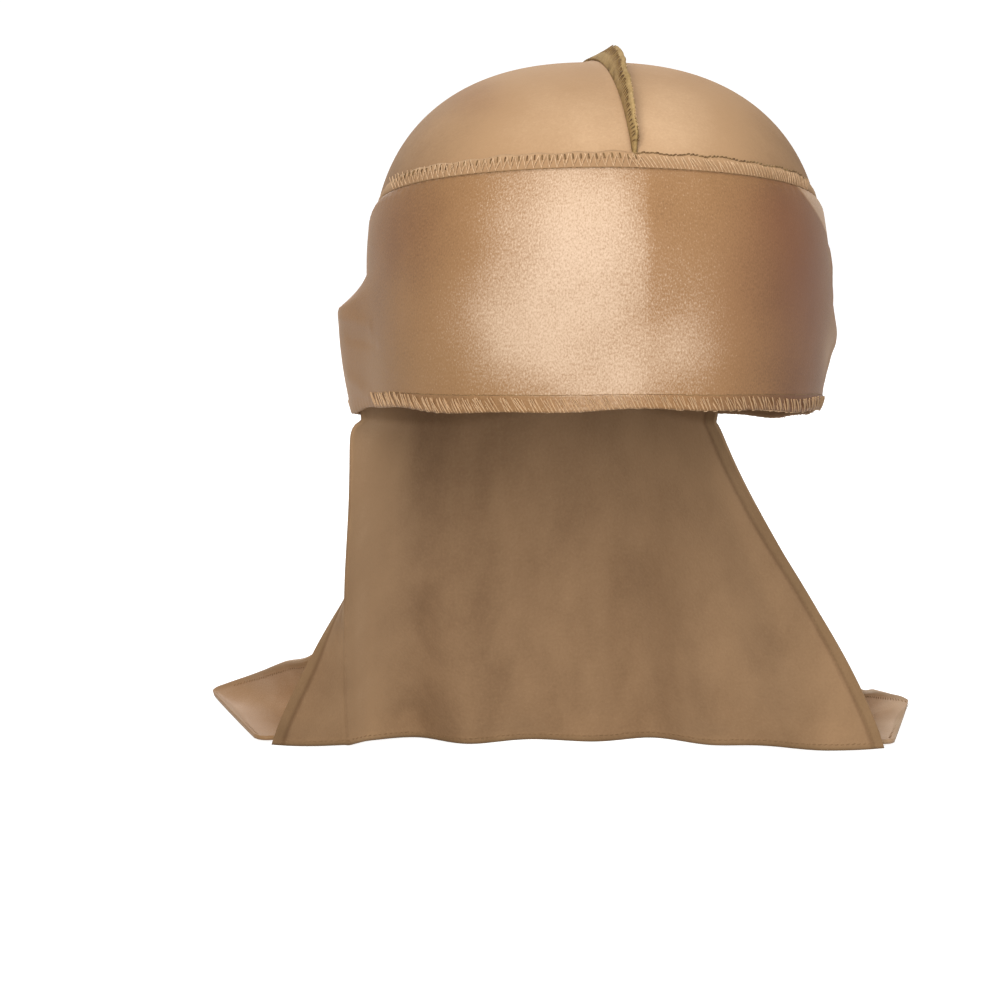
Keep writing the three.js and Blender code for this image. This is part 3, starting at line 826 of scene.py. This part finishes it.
def seamSurface(u, v):
    # v runs from the free edge down to the crown
    browTurn, napeTurn = crown["seamTurn"], crown["seamTurn"] + 180
    browEnd = polarAt(browTurn, bandEdges(browTurn)[0] + allowance["height"] - 0.6, layer)
    napeEnd = polarAt(napeTurn, drawnIn(napeTurn, bandEdges(napeTurn)[0]) + 0.2, layer)

    def base(share):
        polar = mix(-browEnd, napeEnd, share)
        azimuth = np.where(polar < 0, browTurn, napeTurn)
        return onDome(azimuth, np.abs(polar), layer)

    tangent = base(np.minimum(1, u + 0.01)) - base(np.maximum(0, u - 0.01))
    out = -unit(np.cross(tangent, seamSide))
    tipped = mix(seam["leanAtBrow"], seam["leanOnTop"], smooth(u, *seam["tips"]))
    lean = np.radians(mix(tipped, seam["leanBehind"], smooth(u, *seam["liesDown"])))
    wave = 0.22 * np.sin(60 * u) + 0.1 * np.sin(171 * u + 1)
    height = seam["height"] * (0.15 + 0.45 * smooth(u, 0.0, 0.03) + 0.40 * smooth(u, 0.0, 0.10))
    rise = (1 - v) * (height + 0.16 * np.sin(43 * u + 2) + 0.1 * np.sin(97 * u)) - 0.5
    curl = lean + np.radians(10) * (1 - v) ** 2
    raised = seam["thickness"] / 2 * np.sin(lean)
    return (base(u) + out * (rise * np.cos(curl) + raised)[..., None]
            + seamSide * (rise * np.sin(curl) + wave * (1 - v))[..., None])


def seamThickness(u, v, middle):
    return seam["thickness"] * (0.85 + 0.25 * smooth(v, 0.0, 0.2)) - 0.15 * smooth(v, 0.5, 1.0)


def seamPaint(u, v, middle):
    nap = 0.25 * (1 - v) - 0.35 * smooth(u, 0.06, 0.0) - 0.2 * bell((v - 1) / 0.3)
    return {"nap": nap}


centreSeam = clothWall("centreSeam", seamSurface, seam, seamThickness, [edgeCloth], seamPaint)
print("seams made")

# Flap

flapLines = table(
    "azimuth lift spread reach billow",
    (219, 0.88, -1.013, 1.000, 0.000),
    (231, 0.88, -0.935, 0.990, 0.000),
    (245, 0.88, -0.840, 0.985, 0.016),
    (255, 0.96, -0.755, 1.000, 0.037),
    (247, 0.40, -0.690, 1.050, 0.024),
    (233, 0.03, -0.540, 1.080, 0.004),
    (216, 0.00, -0.370, 1.010, 0.000),
    (198, 0.00, -0.170, 1.075, 0.000),
    (184, 0.00, 0.030, 1.020, 0.000),
    (174, 0.00, 0.230, 1.080, 0.000),
    (165, 0.00, 0.420, 1.000, 0.000),
    (158, 0.00, 0.600, 0.975, 0.000),
    (152, 0.00, 0.785, 0.900, 0.004),
    (146, 0.00, 0.973, 0.950, 0.016))


def through(rows, column, share):
    # a smooth value through one column of a table
    values = np.array([row[column] for row in rows], dtype=float)
    place = share * (len(rows) - 1)
    k = np.minimum(len(rows) - 2, np.floor(place)).astype(int)
    t = place - k
    a, b, c, d = (values[np.clip(k + n, 0, len(rows) - 1)] for n in (-1, 0, 1, 2))
    return b + 0.5 * t * (c - a + t * (2 * a - 5 * b + 4 * c - d + t * (3 * (b - c) + d - a)))


def flapSurface(u, v):
    share = 1 - u  # lines run from the right free edge to the left one
    azimuth = through(flapLines, "azimuth", share)
    lift = through(flapLines, "lift", share)
    leave = bandEdges(azimuth)[1] - flap["leave"]

    def inside(z):
        stand = bandLift(azimuth, np.maximum(z, leave + flap["leave"])) - layer
        return onForm(azimuth, z, fabric["room"] / 2 + lift * stand)

    covered = flap["covered"]
    above = inside(mix(flapTop(azimuth), leave, np.minimum(v / covered, 1)))
    start = inside(leave)
    end = vector(flap["halfSpread"] * through(flapLines, "spread", share),
                 flap["reach"] * through(flapLines, "reach", share),
                 floorLevel + fabric["room"] / 2)
    chord = end - start
    length = np.linalg.norm(chord, axis=-1, keepdims=True)
    heading = (inside(leave - 1) - start) * length
    flare = np.array([0, flap["flareRun"], -1]) * length
    first = start + heading * flap["alongNape"] + chord * flap["alongChord"]
    second = end - flare * flap["landFlare"] - chord * flap["landChord"]
    t = np.clip((v - covered) / (1 - covered), 0, 1)[..., None]
    below = (start * (1 - t) ** 3 + 3 * first * t * (1 - t) ** 2
             + 3 * second * t * t * (1 - t) + end * t ** 3)
    t = t[..., 0]
    billow = (flap["halfSpread"] * through(flapLines, "billow", share)
              * (1 - t ** flap["billowFade"]) * (1 - (1 - t) ** flap["billowStart"]))
    turn = np.radians(azimuth)
    below = below + vector(np.sin(turn), -np.cos(turn), 0 * turn) * billow[..., None]
    # soft hanging folds, the same in both layers where the flap is doubled
    drape = smooth(t, 0.08, 0.5) * (1 - 0.5 * smooth(t, 0.9, 1))
    ripple = 2.6 * np.sin(below[..., 0] / 13 + 0.8)
    ripple = ripple + 0.8 * np.sin(below[..., 0] / 5.2 + below[..., 2] / 60)
    crease = 1.8 * bell((share - 0.231) / 0.014) * smooth(t, 0.2, 0.5)
    back = below + vector(-0.5 * crease, drape * ripple - 0.8 * crease, 0 * ripple)
    return np.where((v < covered)[..., None], above, back)


def flapDistances(middle):
    # millimetres to the nearer side edge and to the bottom edge
    fromLine, fromRow = arcLengths(middle)
    return np.minimum(fromLine, fromLine[-1:] - fromLine), fromRow[:, -1:] - fromRow


def flapHem(middle):
    # 1 on the turned hems, which are wide at both sides and narrow at the bottom
    toSide, toBottom = flapDistances(middle)
    return 1 - smooth(np.minimum(toSide / flap["hemWidth"], toBottom / flap["bottomHem"]), 0.8, 1.2)


def flapThickness(u, v, middle):
    return fabric["thickness"] + flap["hemRise"] * flapHem(middle)


# painted light and shade across the flap from its left free edge, the same all the way down: shade left
# of the fold, a dark line in its crease, a highlight on the ridge beside it, and more shade to the right
flapShadeAndHighlight = table(
    "across level left right high tone warm",
    (0.12, 0, 0.20, 0.09, 1, -0.14, 0.0),
    (0.228, 0, 0.006, 0.006, 1, -0.12, 0.0),
    (0.27, 0, 0.035, 0.05, 1, 0.20, 0.1),
    (0.40, 0, 0.05, 0.10, 1, -0.12, 0.0),
    (0.62, 0, 0.20, 0.26, 1, -0.08, 0.0))


def flapPaint(u, v, middle):
    nap, warm = patchPaint(flapShadeAndHighlight, 1 - u, 0 * v, 1)
    hem = flapHem(middle)
    toSide = flapDistances(middle)[0]
    nap = nap - 0.16 * bell((toSide - flap["hemWidth"] - 0.4) / 0.9)  # the shade beside a hem
    return {"nap": nap - 0.08 * hem, "warm": warm - 0.35 * hem}


hangingFlap = clothWall(
    "hangingFlap", flapSurface, flap, flapThickness, [flapOutside, flapInside], flapPaint)
print("flap made")

# Knot and strap ends

knot = {
    "halfWidth": 20.5, "halfHeight": 16, "halfDepth": 9.5, "setIn": 3.0, "wrapTurn": 52,
    "lines": 150, "rows": 100,
}
knotLevel = sum(bandEdges(np.array(180.0))) / 2
knotCentre = onForm(
    np.array(180.0), knotLevel, 2 * layer + band["pleatDepth"] + knot["halfDepth"] - knot["setIn"])


def knotPoint(u, v):
    # u round the up-and-down axis, v from top to bottom
    turn, polar = 2 * np.pi * u, np.pi * v
    way = vector(np.sin(polar) * np.sin(turn), -np.sin(polar) * np.cos(turn), np.cos(polar))
    x, y, z = way[..., 0], way[..., 1], way[..., 2]
    angle = math.radians(knot["wrapTurn"])
    across = x * math.cos(angle) + z * math.sin(angle)
    wrap = 1 - smooth(np.abs(across + 0.06 * y), 0.36, 0.50)
    pleat = 0.018 * np.cos(across * 17 + 1.2 * np.sin(3 * z) + y) * wrap
    spoke = np.arctan2(z * 1.2, x)
    tail = 0.02 * np.cos(spoke * 8 + 2 * y) * (1 - wrap) * smooth(np.hypot(x, z), 0.2, 0.7)
    pinch = -0.11 * bell((np.abs(across) - 0.50) / 0.09)
    swollen = 0.05 * np.sin(2 * x + 1.3 * z) + 0.03 * np.sin(4 * z + 1)
    reach = 0.95 + 0.08 * wrap + pleat + tail + pinch + swollen
    size = np.array([knot["halfWidth"], knot["halfDepth"], knot["halfHeight"]])
    return knotCentre + way * size * reach[..., None]


def roundLump(name, surface, size, material):
    u, v = np.meshgrid(
        np.linspace(0, 1, size["lines"], endpoint=False), np.linspace(0, 1, size["rows"] + 1),
        indexing="ij")
    grid = surface(u, v)
    points = np.concatenate([grid[:, 1:-1].reshape(-1, 3), grid[:1, 0], grid[:1, -1]])
    lines, rows = size["lines"], size["rows"] - 1
    index = np.arange(lines * rows).reshape(lines, rows)
    after = np.roll(index, -1, axis=0)
    quads = np.stack([index[:, :-1], index[:, 1:], after[:, 1:], after[:, :-1]], axis=-1)
    top, bottom = lines * rows, lines * rows + 1
    faces = quads.reshape(-1, 4).tolist()
    faces += [(top, int(index[i, 0]), int(after[i, 0])) for i in range(lines)]
    faces += [(bottom, int(after[i, -1]), int(index[i, -1])) for i in range(lines)]
    return plainMesh(name, points, faces, [material])


tiedKnot = roundLump("tiedKnot", knotPoint, knot, velvetLump)

strap = {
    "width": 90, "sag": 7, "sagsFrom": (0.10, 0.50), "upper": 50, "lower": 8, "rootLength": 0.12,
    "corner": 0.18, "cornerLength": 0.045, "softness": 2.0, "hemWidth": 2.8, "hemRise": 0.5,
    "endLight": {"Left": 0.02, "Right": 0.20}, "lines": 170, "rows": 60,
}
strapColumns = "across laid down acrossLow laidLow downLow"
strapEdges = {
    "Left": table(
        strapColumns,
        (-0.34, 0.02, 0.22, -0.08, 0.03, 0.46),
        (-0.60, 0.06, 0.52, -0.24, 0.10, 0.79),
        (-0.80, 0.10, 0.70, -0.40, 0.17, 0.94),
        (-0.885, 0.14, 0.78, -0.50, 0.20, 1.00),
        (-0.998, 0.41, 0.84, -0.68, 0.19, 1.00),
        (-1.15, 0.78, 0.935, -0.90, 0.12, 1.00),
        (-1.285, 0.96, 1.00, -1.06, 0.03, 1.00)),
    "Right": table(
        strapColumns,
        (0.31, 0.02, 0.22, 0.07, 0.03, 0.46),
        (0.54, 0.05, 0.52, 0.20, 0.10, 0.79),
        (0.77, 0.09, 0.76, 0.36, 0.17, 0.94),
        (0.905, 0.16, 0.873, 0.46, 0.18, 1.00),
        (1.00, 0.47, 0.928, 0.63, 0.14, 1.00),
        (1.10, 0.69, 0.977, 0.85, 0.03, 1.00),
        (1.135, 0.73, 1.00, 1.008, -0.03, 1.00)),
}


def smoothCurve(points, share):
    # a centripetal curve through the points
    padded = np.array([2 * points[0] - points[1], *points, 2 * points[-1] - points[-2]])
    place = share * (len(points) - 1)
    k = np.minimum(len(points) - 2, np.floor(place)).astype(int)
    t = (place - k)[..., None]
    a, b, c, d = (padded[k + n] for n in range(4))

    def step(start, end):
        return np.maximum(np.sum((end - start) ** 2, axis=-1), 1e-9)[..., None] ** 0.25

    before, here, after = step(a, b), step(b, c), step(c, d)
    first = ((b - a) / before - (c - a) / (before + here) + (c - b) / here) * here
    last = ((c - b) / here - (d - b) / (here + after) + (d - c) / after) * here
    return (b + first * t + (3 * (c - b) - 2 * first - last) * t ** 2
            + (2 * (b - c) + first + last) * t ** 3)


def strapSurface(which):
    side = -1 if which == "Left" else 1
    level = floorLevel + fabric["room"] / 2
    lowest = knotCentre[2] - knot["halfHeight"]

    def rim(degrees):
        angle = np.radians(degrees)
        return vector(side * (knot["halfWidth"] + fabric["gap"]) * np.sin(angle), knotCentre[1],
                      knotCentre[2] - (knot["halfHeight"] + fabric["gap"]) * np.cos(angle))

    def edge(low):
        ending = "Low" if low else ""
        points = [rim(strap["lower"] if low else strap["upper"])]
        for row in strapEdges[which]:
            points.append(np.array([
                flap["halfSpread"] * row["across" + ending],
                flap["reach"] + strap["width"] * row["laid" + ending],
                mix(lowest, level, row["down" + ending])]))
        return points

    upper, lower = edge(False), edge(True)

    def surface(u, v):
        width = v if side > 0 else 1 - v  # from edge to edge, so that faces point out
        nearEnd = np.clip((u - 1) / strap["cornerLength"] + 1, 0, 1)
        width = 0.5 + (width - 0.5) * (1 - strap["corner"] * (1 - np.sqrt(1 - 0.98 * nearEnd ** 2)))
        place = mix(smoothCurve(upper, u), smoothCurve(lower, u), width[..., None])
        chord = mix(rim(strap["upper"]), rim(strap["lower"]), width[..., None])
        arc = rim(mix(strap["upper"], strap["lower"], width)) - chord
        place = place + arc * (1 - smooth(u, 0, strap["rootLength"]))[..., None]
        sag = strap["sag"] * np.sin(np.pi * width) * smooth(u, *strap["sagsFrom"])
        sag = sag * (1 - 0.6 * smooth(u, 0.6, 1.0))
        fan = (1 - smooth(u, 0.25, 0.75)) * smooth(u, 0.0, 0.12) * np.sin(np.pi * width)
        fold = 1.6 * np.sin(width * 19 + 0.7) * fan
        crease = 0.8 * np.sin(u * 21 + 4 * width) * smooth(u, 0.3, 0.6) * np.sin(np.pi * width)
        z = place[..., 2] - sag + crease * smooth(place[..., 2], level + 1, level + 14)
        y = place[..., 1] + fold
        above = z - level
        return vector(place[..., 0], y, level + (above + np.sqrt(above ** 2 + strap["softness"])) / 2)
    return surface


def strapHem(middle):
    fromLine, fromRow = arcLengths(middle)
    near = [fromLine[-1:] - fromLine, fromRow, fromRow[:, -1:] - fromRow]
    return 1 - smooth(np.minimum.reduce(near), strap["hemWidth"] - 0.6, strap["hemWidth"] + 0.6)


def strapPaint(which):
    def paint(u, v, middle):
        hem = strapHem(middle)
        # painted light on the end of each strap, more on the right one
        nap = strap["endLight"][which] * smooth(u, 0.45, 0.75) - 0.05 * hem
        return {"nap": nap, "warm": -0.4 * hem}
    return paint


def strapThickness(u, v, middle):
    return fabric["thickness"] + strap["hemRise"] * strapHem(middle) * smooth(u, 0.02, 0.1)


straps = {}
for which in ("Left", "Right"):
    straps[which] = clothWall(
        "strapEnd" + which, strapSurface(which), strap, strapThickness,
        [strapCloth, velvetInside], strapPaint(which))
print("knot and strap ends made")

# Rows of stitches

def rowRail(surface, row, start, end, count, half=None):
    # a rail at one level of a sheet, between two shares of u, or two azimuths if half is given
    u = np.linspace(start, end, count)
    if half is not None:
        u = (u + half) / (2 * half)
    return surfaceRail(surface, u, np.full(count, row["level"]), row["lift"], row.get("turned", 1))


hemRows = table(
    "level lift pitch length radius arch slant spread uneven seed thread",
    (0.998, 0.60, 1.2, 5.3, 0.19, 0.25, 28, 8, 0.09, 3, "hem"),
    (0.998, 0.64, 1.2, 4.9, 0.10, 0.35, 31, 8, 0.09, 9, "pale"),
    (0.93, 0.60, 1.2, 1.3, 0.10, 0.1, 86, 8, 0.09, 5, "olive"),
    (0.999, 0.2, 1.2, 1.6, 0.16, 0.35, 88, 8, 0.09, 6, "pale"))
hemRuns = [(-173, -97), (-66, 173)]  # azimuths where the threads show
joinRows("hemStitches", [
    stitchRow(f"hemRow{k}", rowRail(bandSurface, row, *run, 900, bandEnd), row)
    for k, row in enumerate(hemRows) for run in hemRuns])

# a zigzag left of the centre seam and a slanted row right of it, with dark threads beside both and a dark
# row along the seam; the dark threads are partly thread and partly painted shade in the gaps of the
# stitching
seamRows = table(
    "start end level lift pitch length radius arch slant spread seed thread",
    (-58, 7, 0.90, 0.56, 2.5, 4.2, 0.12, 0.25, 17, 6, 11, "pale"),
    (-58, 7, 0.90, 0.56, 2.5, 4.2, 0.12, 0.25, -17, 6, 12, "pale"),
    (-58, 7, 0.46, 0.56, 2.5, 2.0, 0.22, 0.25, 10, 6, 13, "dark"),
    (7, 58, 0.92, 0.56, 1.3, 4.4, 0.15, 0.3, 30, 8, 14, "pale"),
    (7, 61, 0.10, 0.42, 1.5, 1.5, 0.24, 0.45, -80, 22, 15, "dark"),
    (-72, 72, 0.99, 0.28, 2.6, 1.5, 0.16, 0.12, -90, 3, 16, "dark"))
joinRows("bandSeamStitches", [
    stitchRow(
        f"seamRow{k}",
        rowRail(allowanceSurface, row, row["start"], row["end"], 500, crown["sewnTo"]), row)
    for k, row in enumerate(seamRows)])

finRows = table(
    "level lift turned start pitch length radius arch slant spread seed thread",
    (0.55, 0.60, 1, 0.022, 1.6, 3.8, 0.14, 0.12, 30, 9, 21, "olive"),
    (0.55, 0.60, -1, 0.022, 1.6, 3.8, 0.14, 0.12, -30, 9, 22, "olive"),
    (0.62, 0.60, 1, 0.022, 1.6, 4.2, 0.14, 0.12, 24, 9, 23, "dark"),
    (0.04, 0.30, 1, 0.040, 1.6, 1.7, 0.14, 0.12, 84, 9, 24, "pale"))
joinRows("centreSeamStitches", [
    stitchRow(f"finRow{k}", rowRail(seamSurface, row, row["start"], 0.97, 600), row)
    for k, row in enumerate(finRows)])


def edgeRail(surface, edge, inset, lift, turned, first, last):
    # a rail that keeps one distance from an edge of a sheet
    run = np.linspace(first, last, 260)
    shares = np.linspace(0, 1, 80)
    sideways = edge in ("start", "end")
    u, v = (shares[:, None], run[None]) if sideways else (run[None], shares[:, None])
    steps = np.linalg.norm(np.diff(surface(*np.broadcast_arrays(u, v)), axis=0), axis=-1)
    share = inset / steps.sum(axis=0)
    share = share if edge in ("start", "top") else 1 - share
    u, v = (share, run) if sideways else (run, share)
    point, along, down, outward = surfaceFrame(surface, u, v)
    return point + outward * lift * turned, along if sideways else down, outward * turned


edgeStitch = {
    "pitch": 2.2, "radius": 0.13, "arch": 0.2, "slant": 90, "spread": 8, "uneven": 0.12,
    "thread": "soft",
}


def edgeRows(surface, runs, lift, length, seed):
    # threads on both faces along the hems; a run is its edge, its inset, and where it starts and ends
    rows = []
    for k, (edge, inset, first, last) in enumerate(runs):
        for turned in (1, -1):
            rail = edgeRail(surface, edge, inset, lift, turned, first, last)
            row = {**edgeStitch, "length": length, "seed": seed + k}
            rows.append(stitchRow(f"edgeRow{k}{turned}", rail, row))
    return rows


flapRuns = [
    ("start", flap["hemWidth"], 0.22, 0.99), ("end", flap["hemWidth"], 0.22, 0.99),
    ("bottom", flap["bottomHem"], 0.01, 0.99),
]
strapRuns = [
    ("end", strap["hemWidth"], 0.06, 0.94), ("top", strap["hemWidth"], 0.12, 0.94),
    ("bottom", strap["hemWidth"], 0.12, 0.90),
]
joinRows("flapStitches", edgeRows(flapSurface, flapRuns, 0.62, 1.4, 31))
joinRows("strapStitches", [
    row for which in ("Left", "Right") for row in edgeRows(strapSurface(which), strapRuns, 0.6, 1.2, 41)])
print("stitches made")

# What each piece stands for: each is hung on the root, and the imported part it replaces is hidden

for piece, slot, node in (
        (foreheadBand, "velvet", "forehead_band"),
        (crownPanels[0], "velvet", "crown_panel_left"), (crownPanels[1], "velvet", "crown_panel_right"),
        (allowanceStrip, "overlock", "band_seam"), (centreSeam, "overlock", "centre_seam"),
        (hangingFlap, "velvet_back", "cape"), (tiedKnot, "velvet", "knot"),
        (straps["Left"], "velvet", "strap_end_left"), (straps["Right"], "velvet", "strap_end_right")):
    finished(piece, slot, [node])

# Camera, light and floor

view = {"place": (-0.0330, -1.0002, 0.0260), "pitch": 10, "lens": 104.36, "sensor": 36}
camera = linked("camera", bpy.data.cameras.new("camera"))
camera.location = view["place"]
camera.rotation_euler = (math.radians(90 - view["pitch"]), 0, 0)
camera.data.lens = view["lens"]
camera.data.sensor_width = view["sensor"]
bpy.context.scene.camera = camera

lamps = table(
    "name place wide high watts",
    ("key", (-0.28, -1.25, 0.38), 0.5, 0.8, 17),
    ("fill", (0.95, -0.75, 0.15), 0.7, 0.9, 3),
    ("top", (0.1, 0.1, 1.2), 0.8, 0.8, 5),
    ("behind", (-0.3, 1.3, 0.6), 0.8, 0.8, 9))
for lamp in lamps:
    light = linked(lamp["name"], bpy.data.lights.new(lamp["name"], "AREA"))
    light.data.shape = "RECTANGLE"
    light.data.size = lamp["wide"]
    light.data.size_y = lamp["high"]
    light.data.energy = lamp["watts"]
    light.location = lamp["place"]
    aim = Vector((0, 0, -0.08)) - light.location
    light.rotation_euler = aim.to_track_quat("-Z", "Y").to_euler()

studio = {
    "air": 0.42, "floorGrey": 0.6, "floorGlow": 0.78, "below": 0.3,
    "flat": 3.0, "curve": 1.2, "top": 1.6, "turns": 64, "steps": 8,
}
world = bpy.data.worlds.new("world")
world.use_nodes = True
world.node_tree.nodes["Background"].inputs["Color"].default_value = (1, 1, 1, 1)
world.node_tree.nodes["Background"].inputs["Strength"].default_value = studio["air"]
bpy.context.scene.world = world
bpy.context.scene.view_settings.view_transform = "Standard"

# a wide white bowl: reach and height of its rings in metres, then its points and faces
bends = math.pi / 2 * np.arange(studio["steps"] + 1) / studio["steps"]
reach = np.append(studio["flat"] + studio["curve"] * np.sin(bends), studio["flat"] + studio["curve"])
rise = np.append(studio["curve"] * (1 - np.cos(bends)), studio["top"])
around = 2 * np.pi * np.arange(studio["turns"]) / studio["turns"]
bowl = vector(reach[:, None] * np.cos(around), reach[:, None] * np.sin(around), rise[:, None])
bowl = np.concatenate([bowl.reshape(-1, 3), np.zeros((1, 3))]) / mm
bowl[:, 2] += floorLevel - studio["below"]
at = np.arange(len(bowl) - 1).reshape(-1, studio["turns"])
after = np.roll(at, -1, axis=1)
bowlFaces = np.stack([at[1:], after[1:], after[:-1], at[:-1]], axis=-1).reshape(-1, 4).tolist()
bowlFaces += [(len(bowl) - 1, int(at[0, i]), int(after[0, i])) for i in range(studio["turns"])]
paleFloor = Shader("paleFloor").finish(
    (*[studio["floorGrey"]] * 3, 1), 0.9,
    Emission_Color=(1, 1, 1, 1), Emission_Strength=studio["floorGlow"])
floor = plainMesh("floor", bowl, bowlFaces, [paleFloor])
floor.visible_diffuse = False
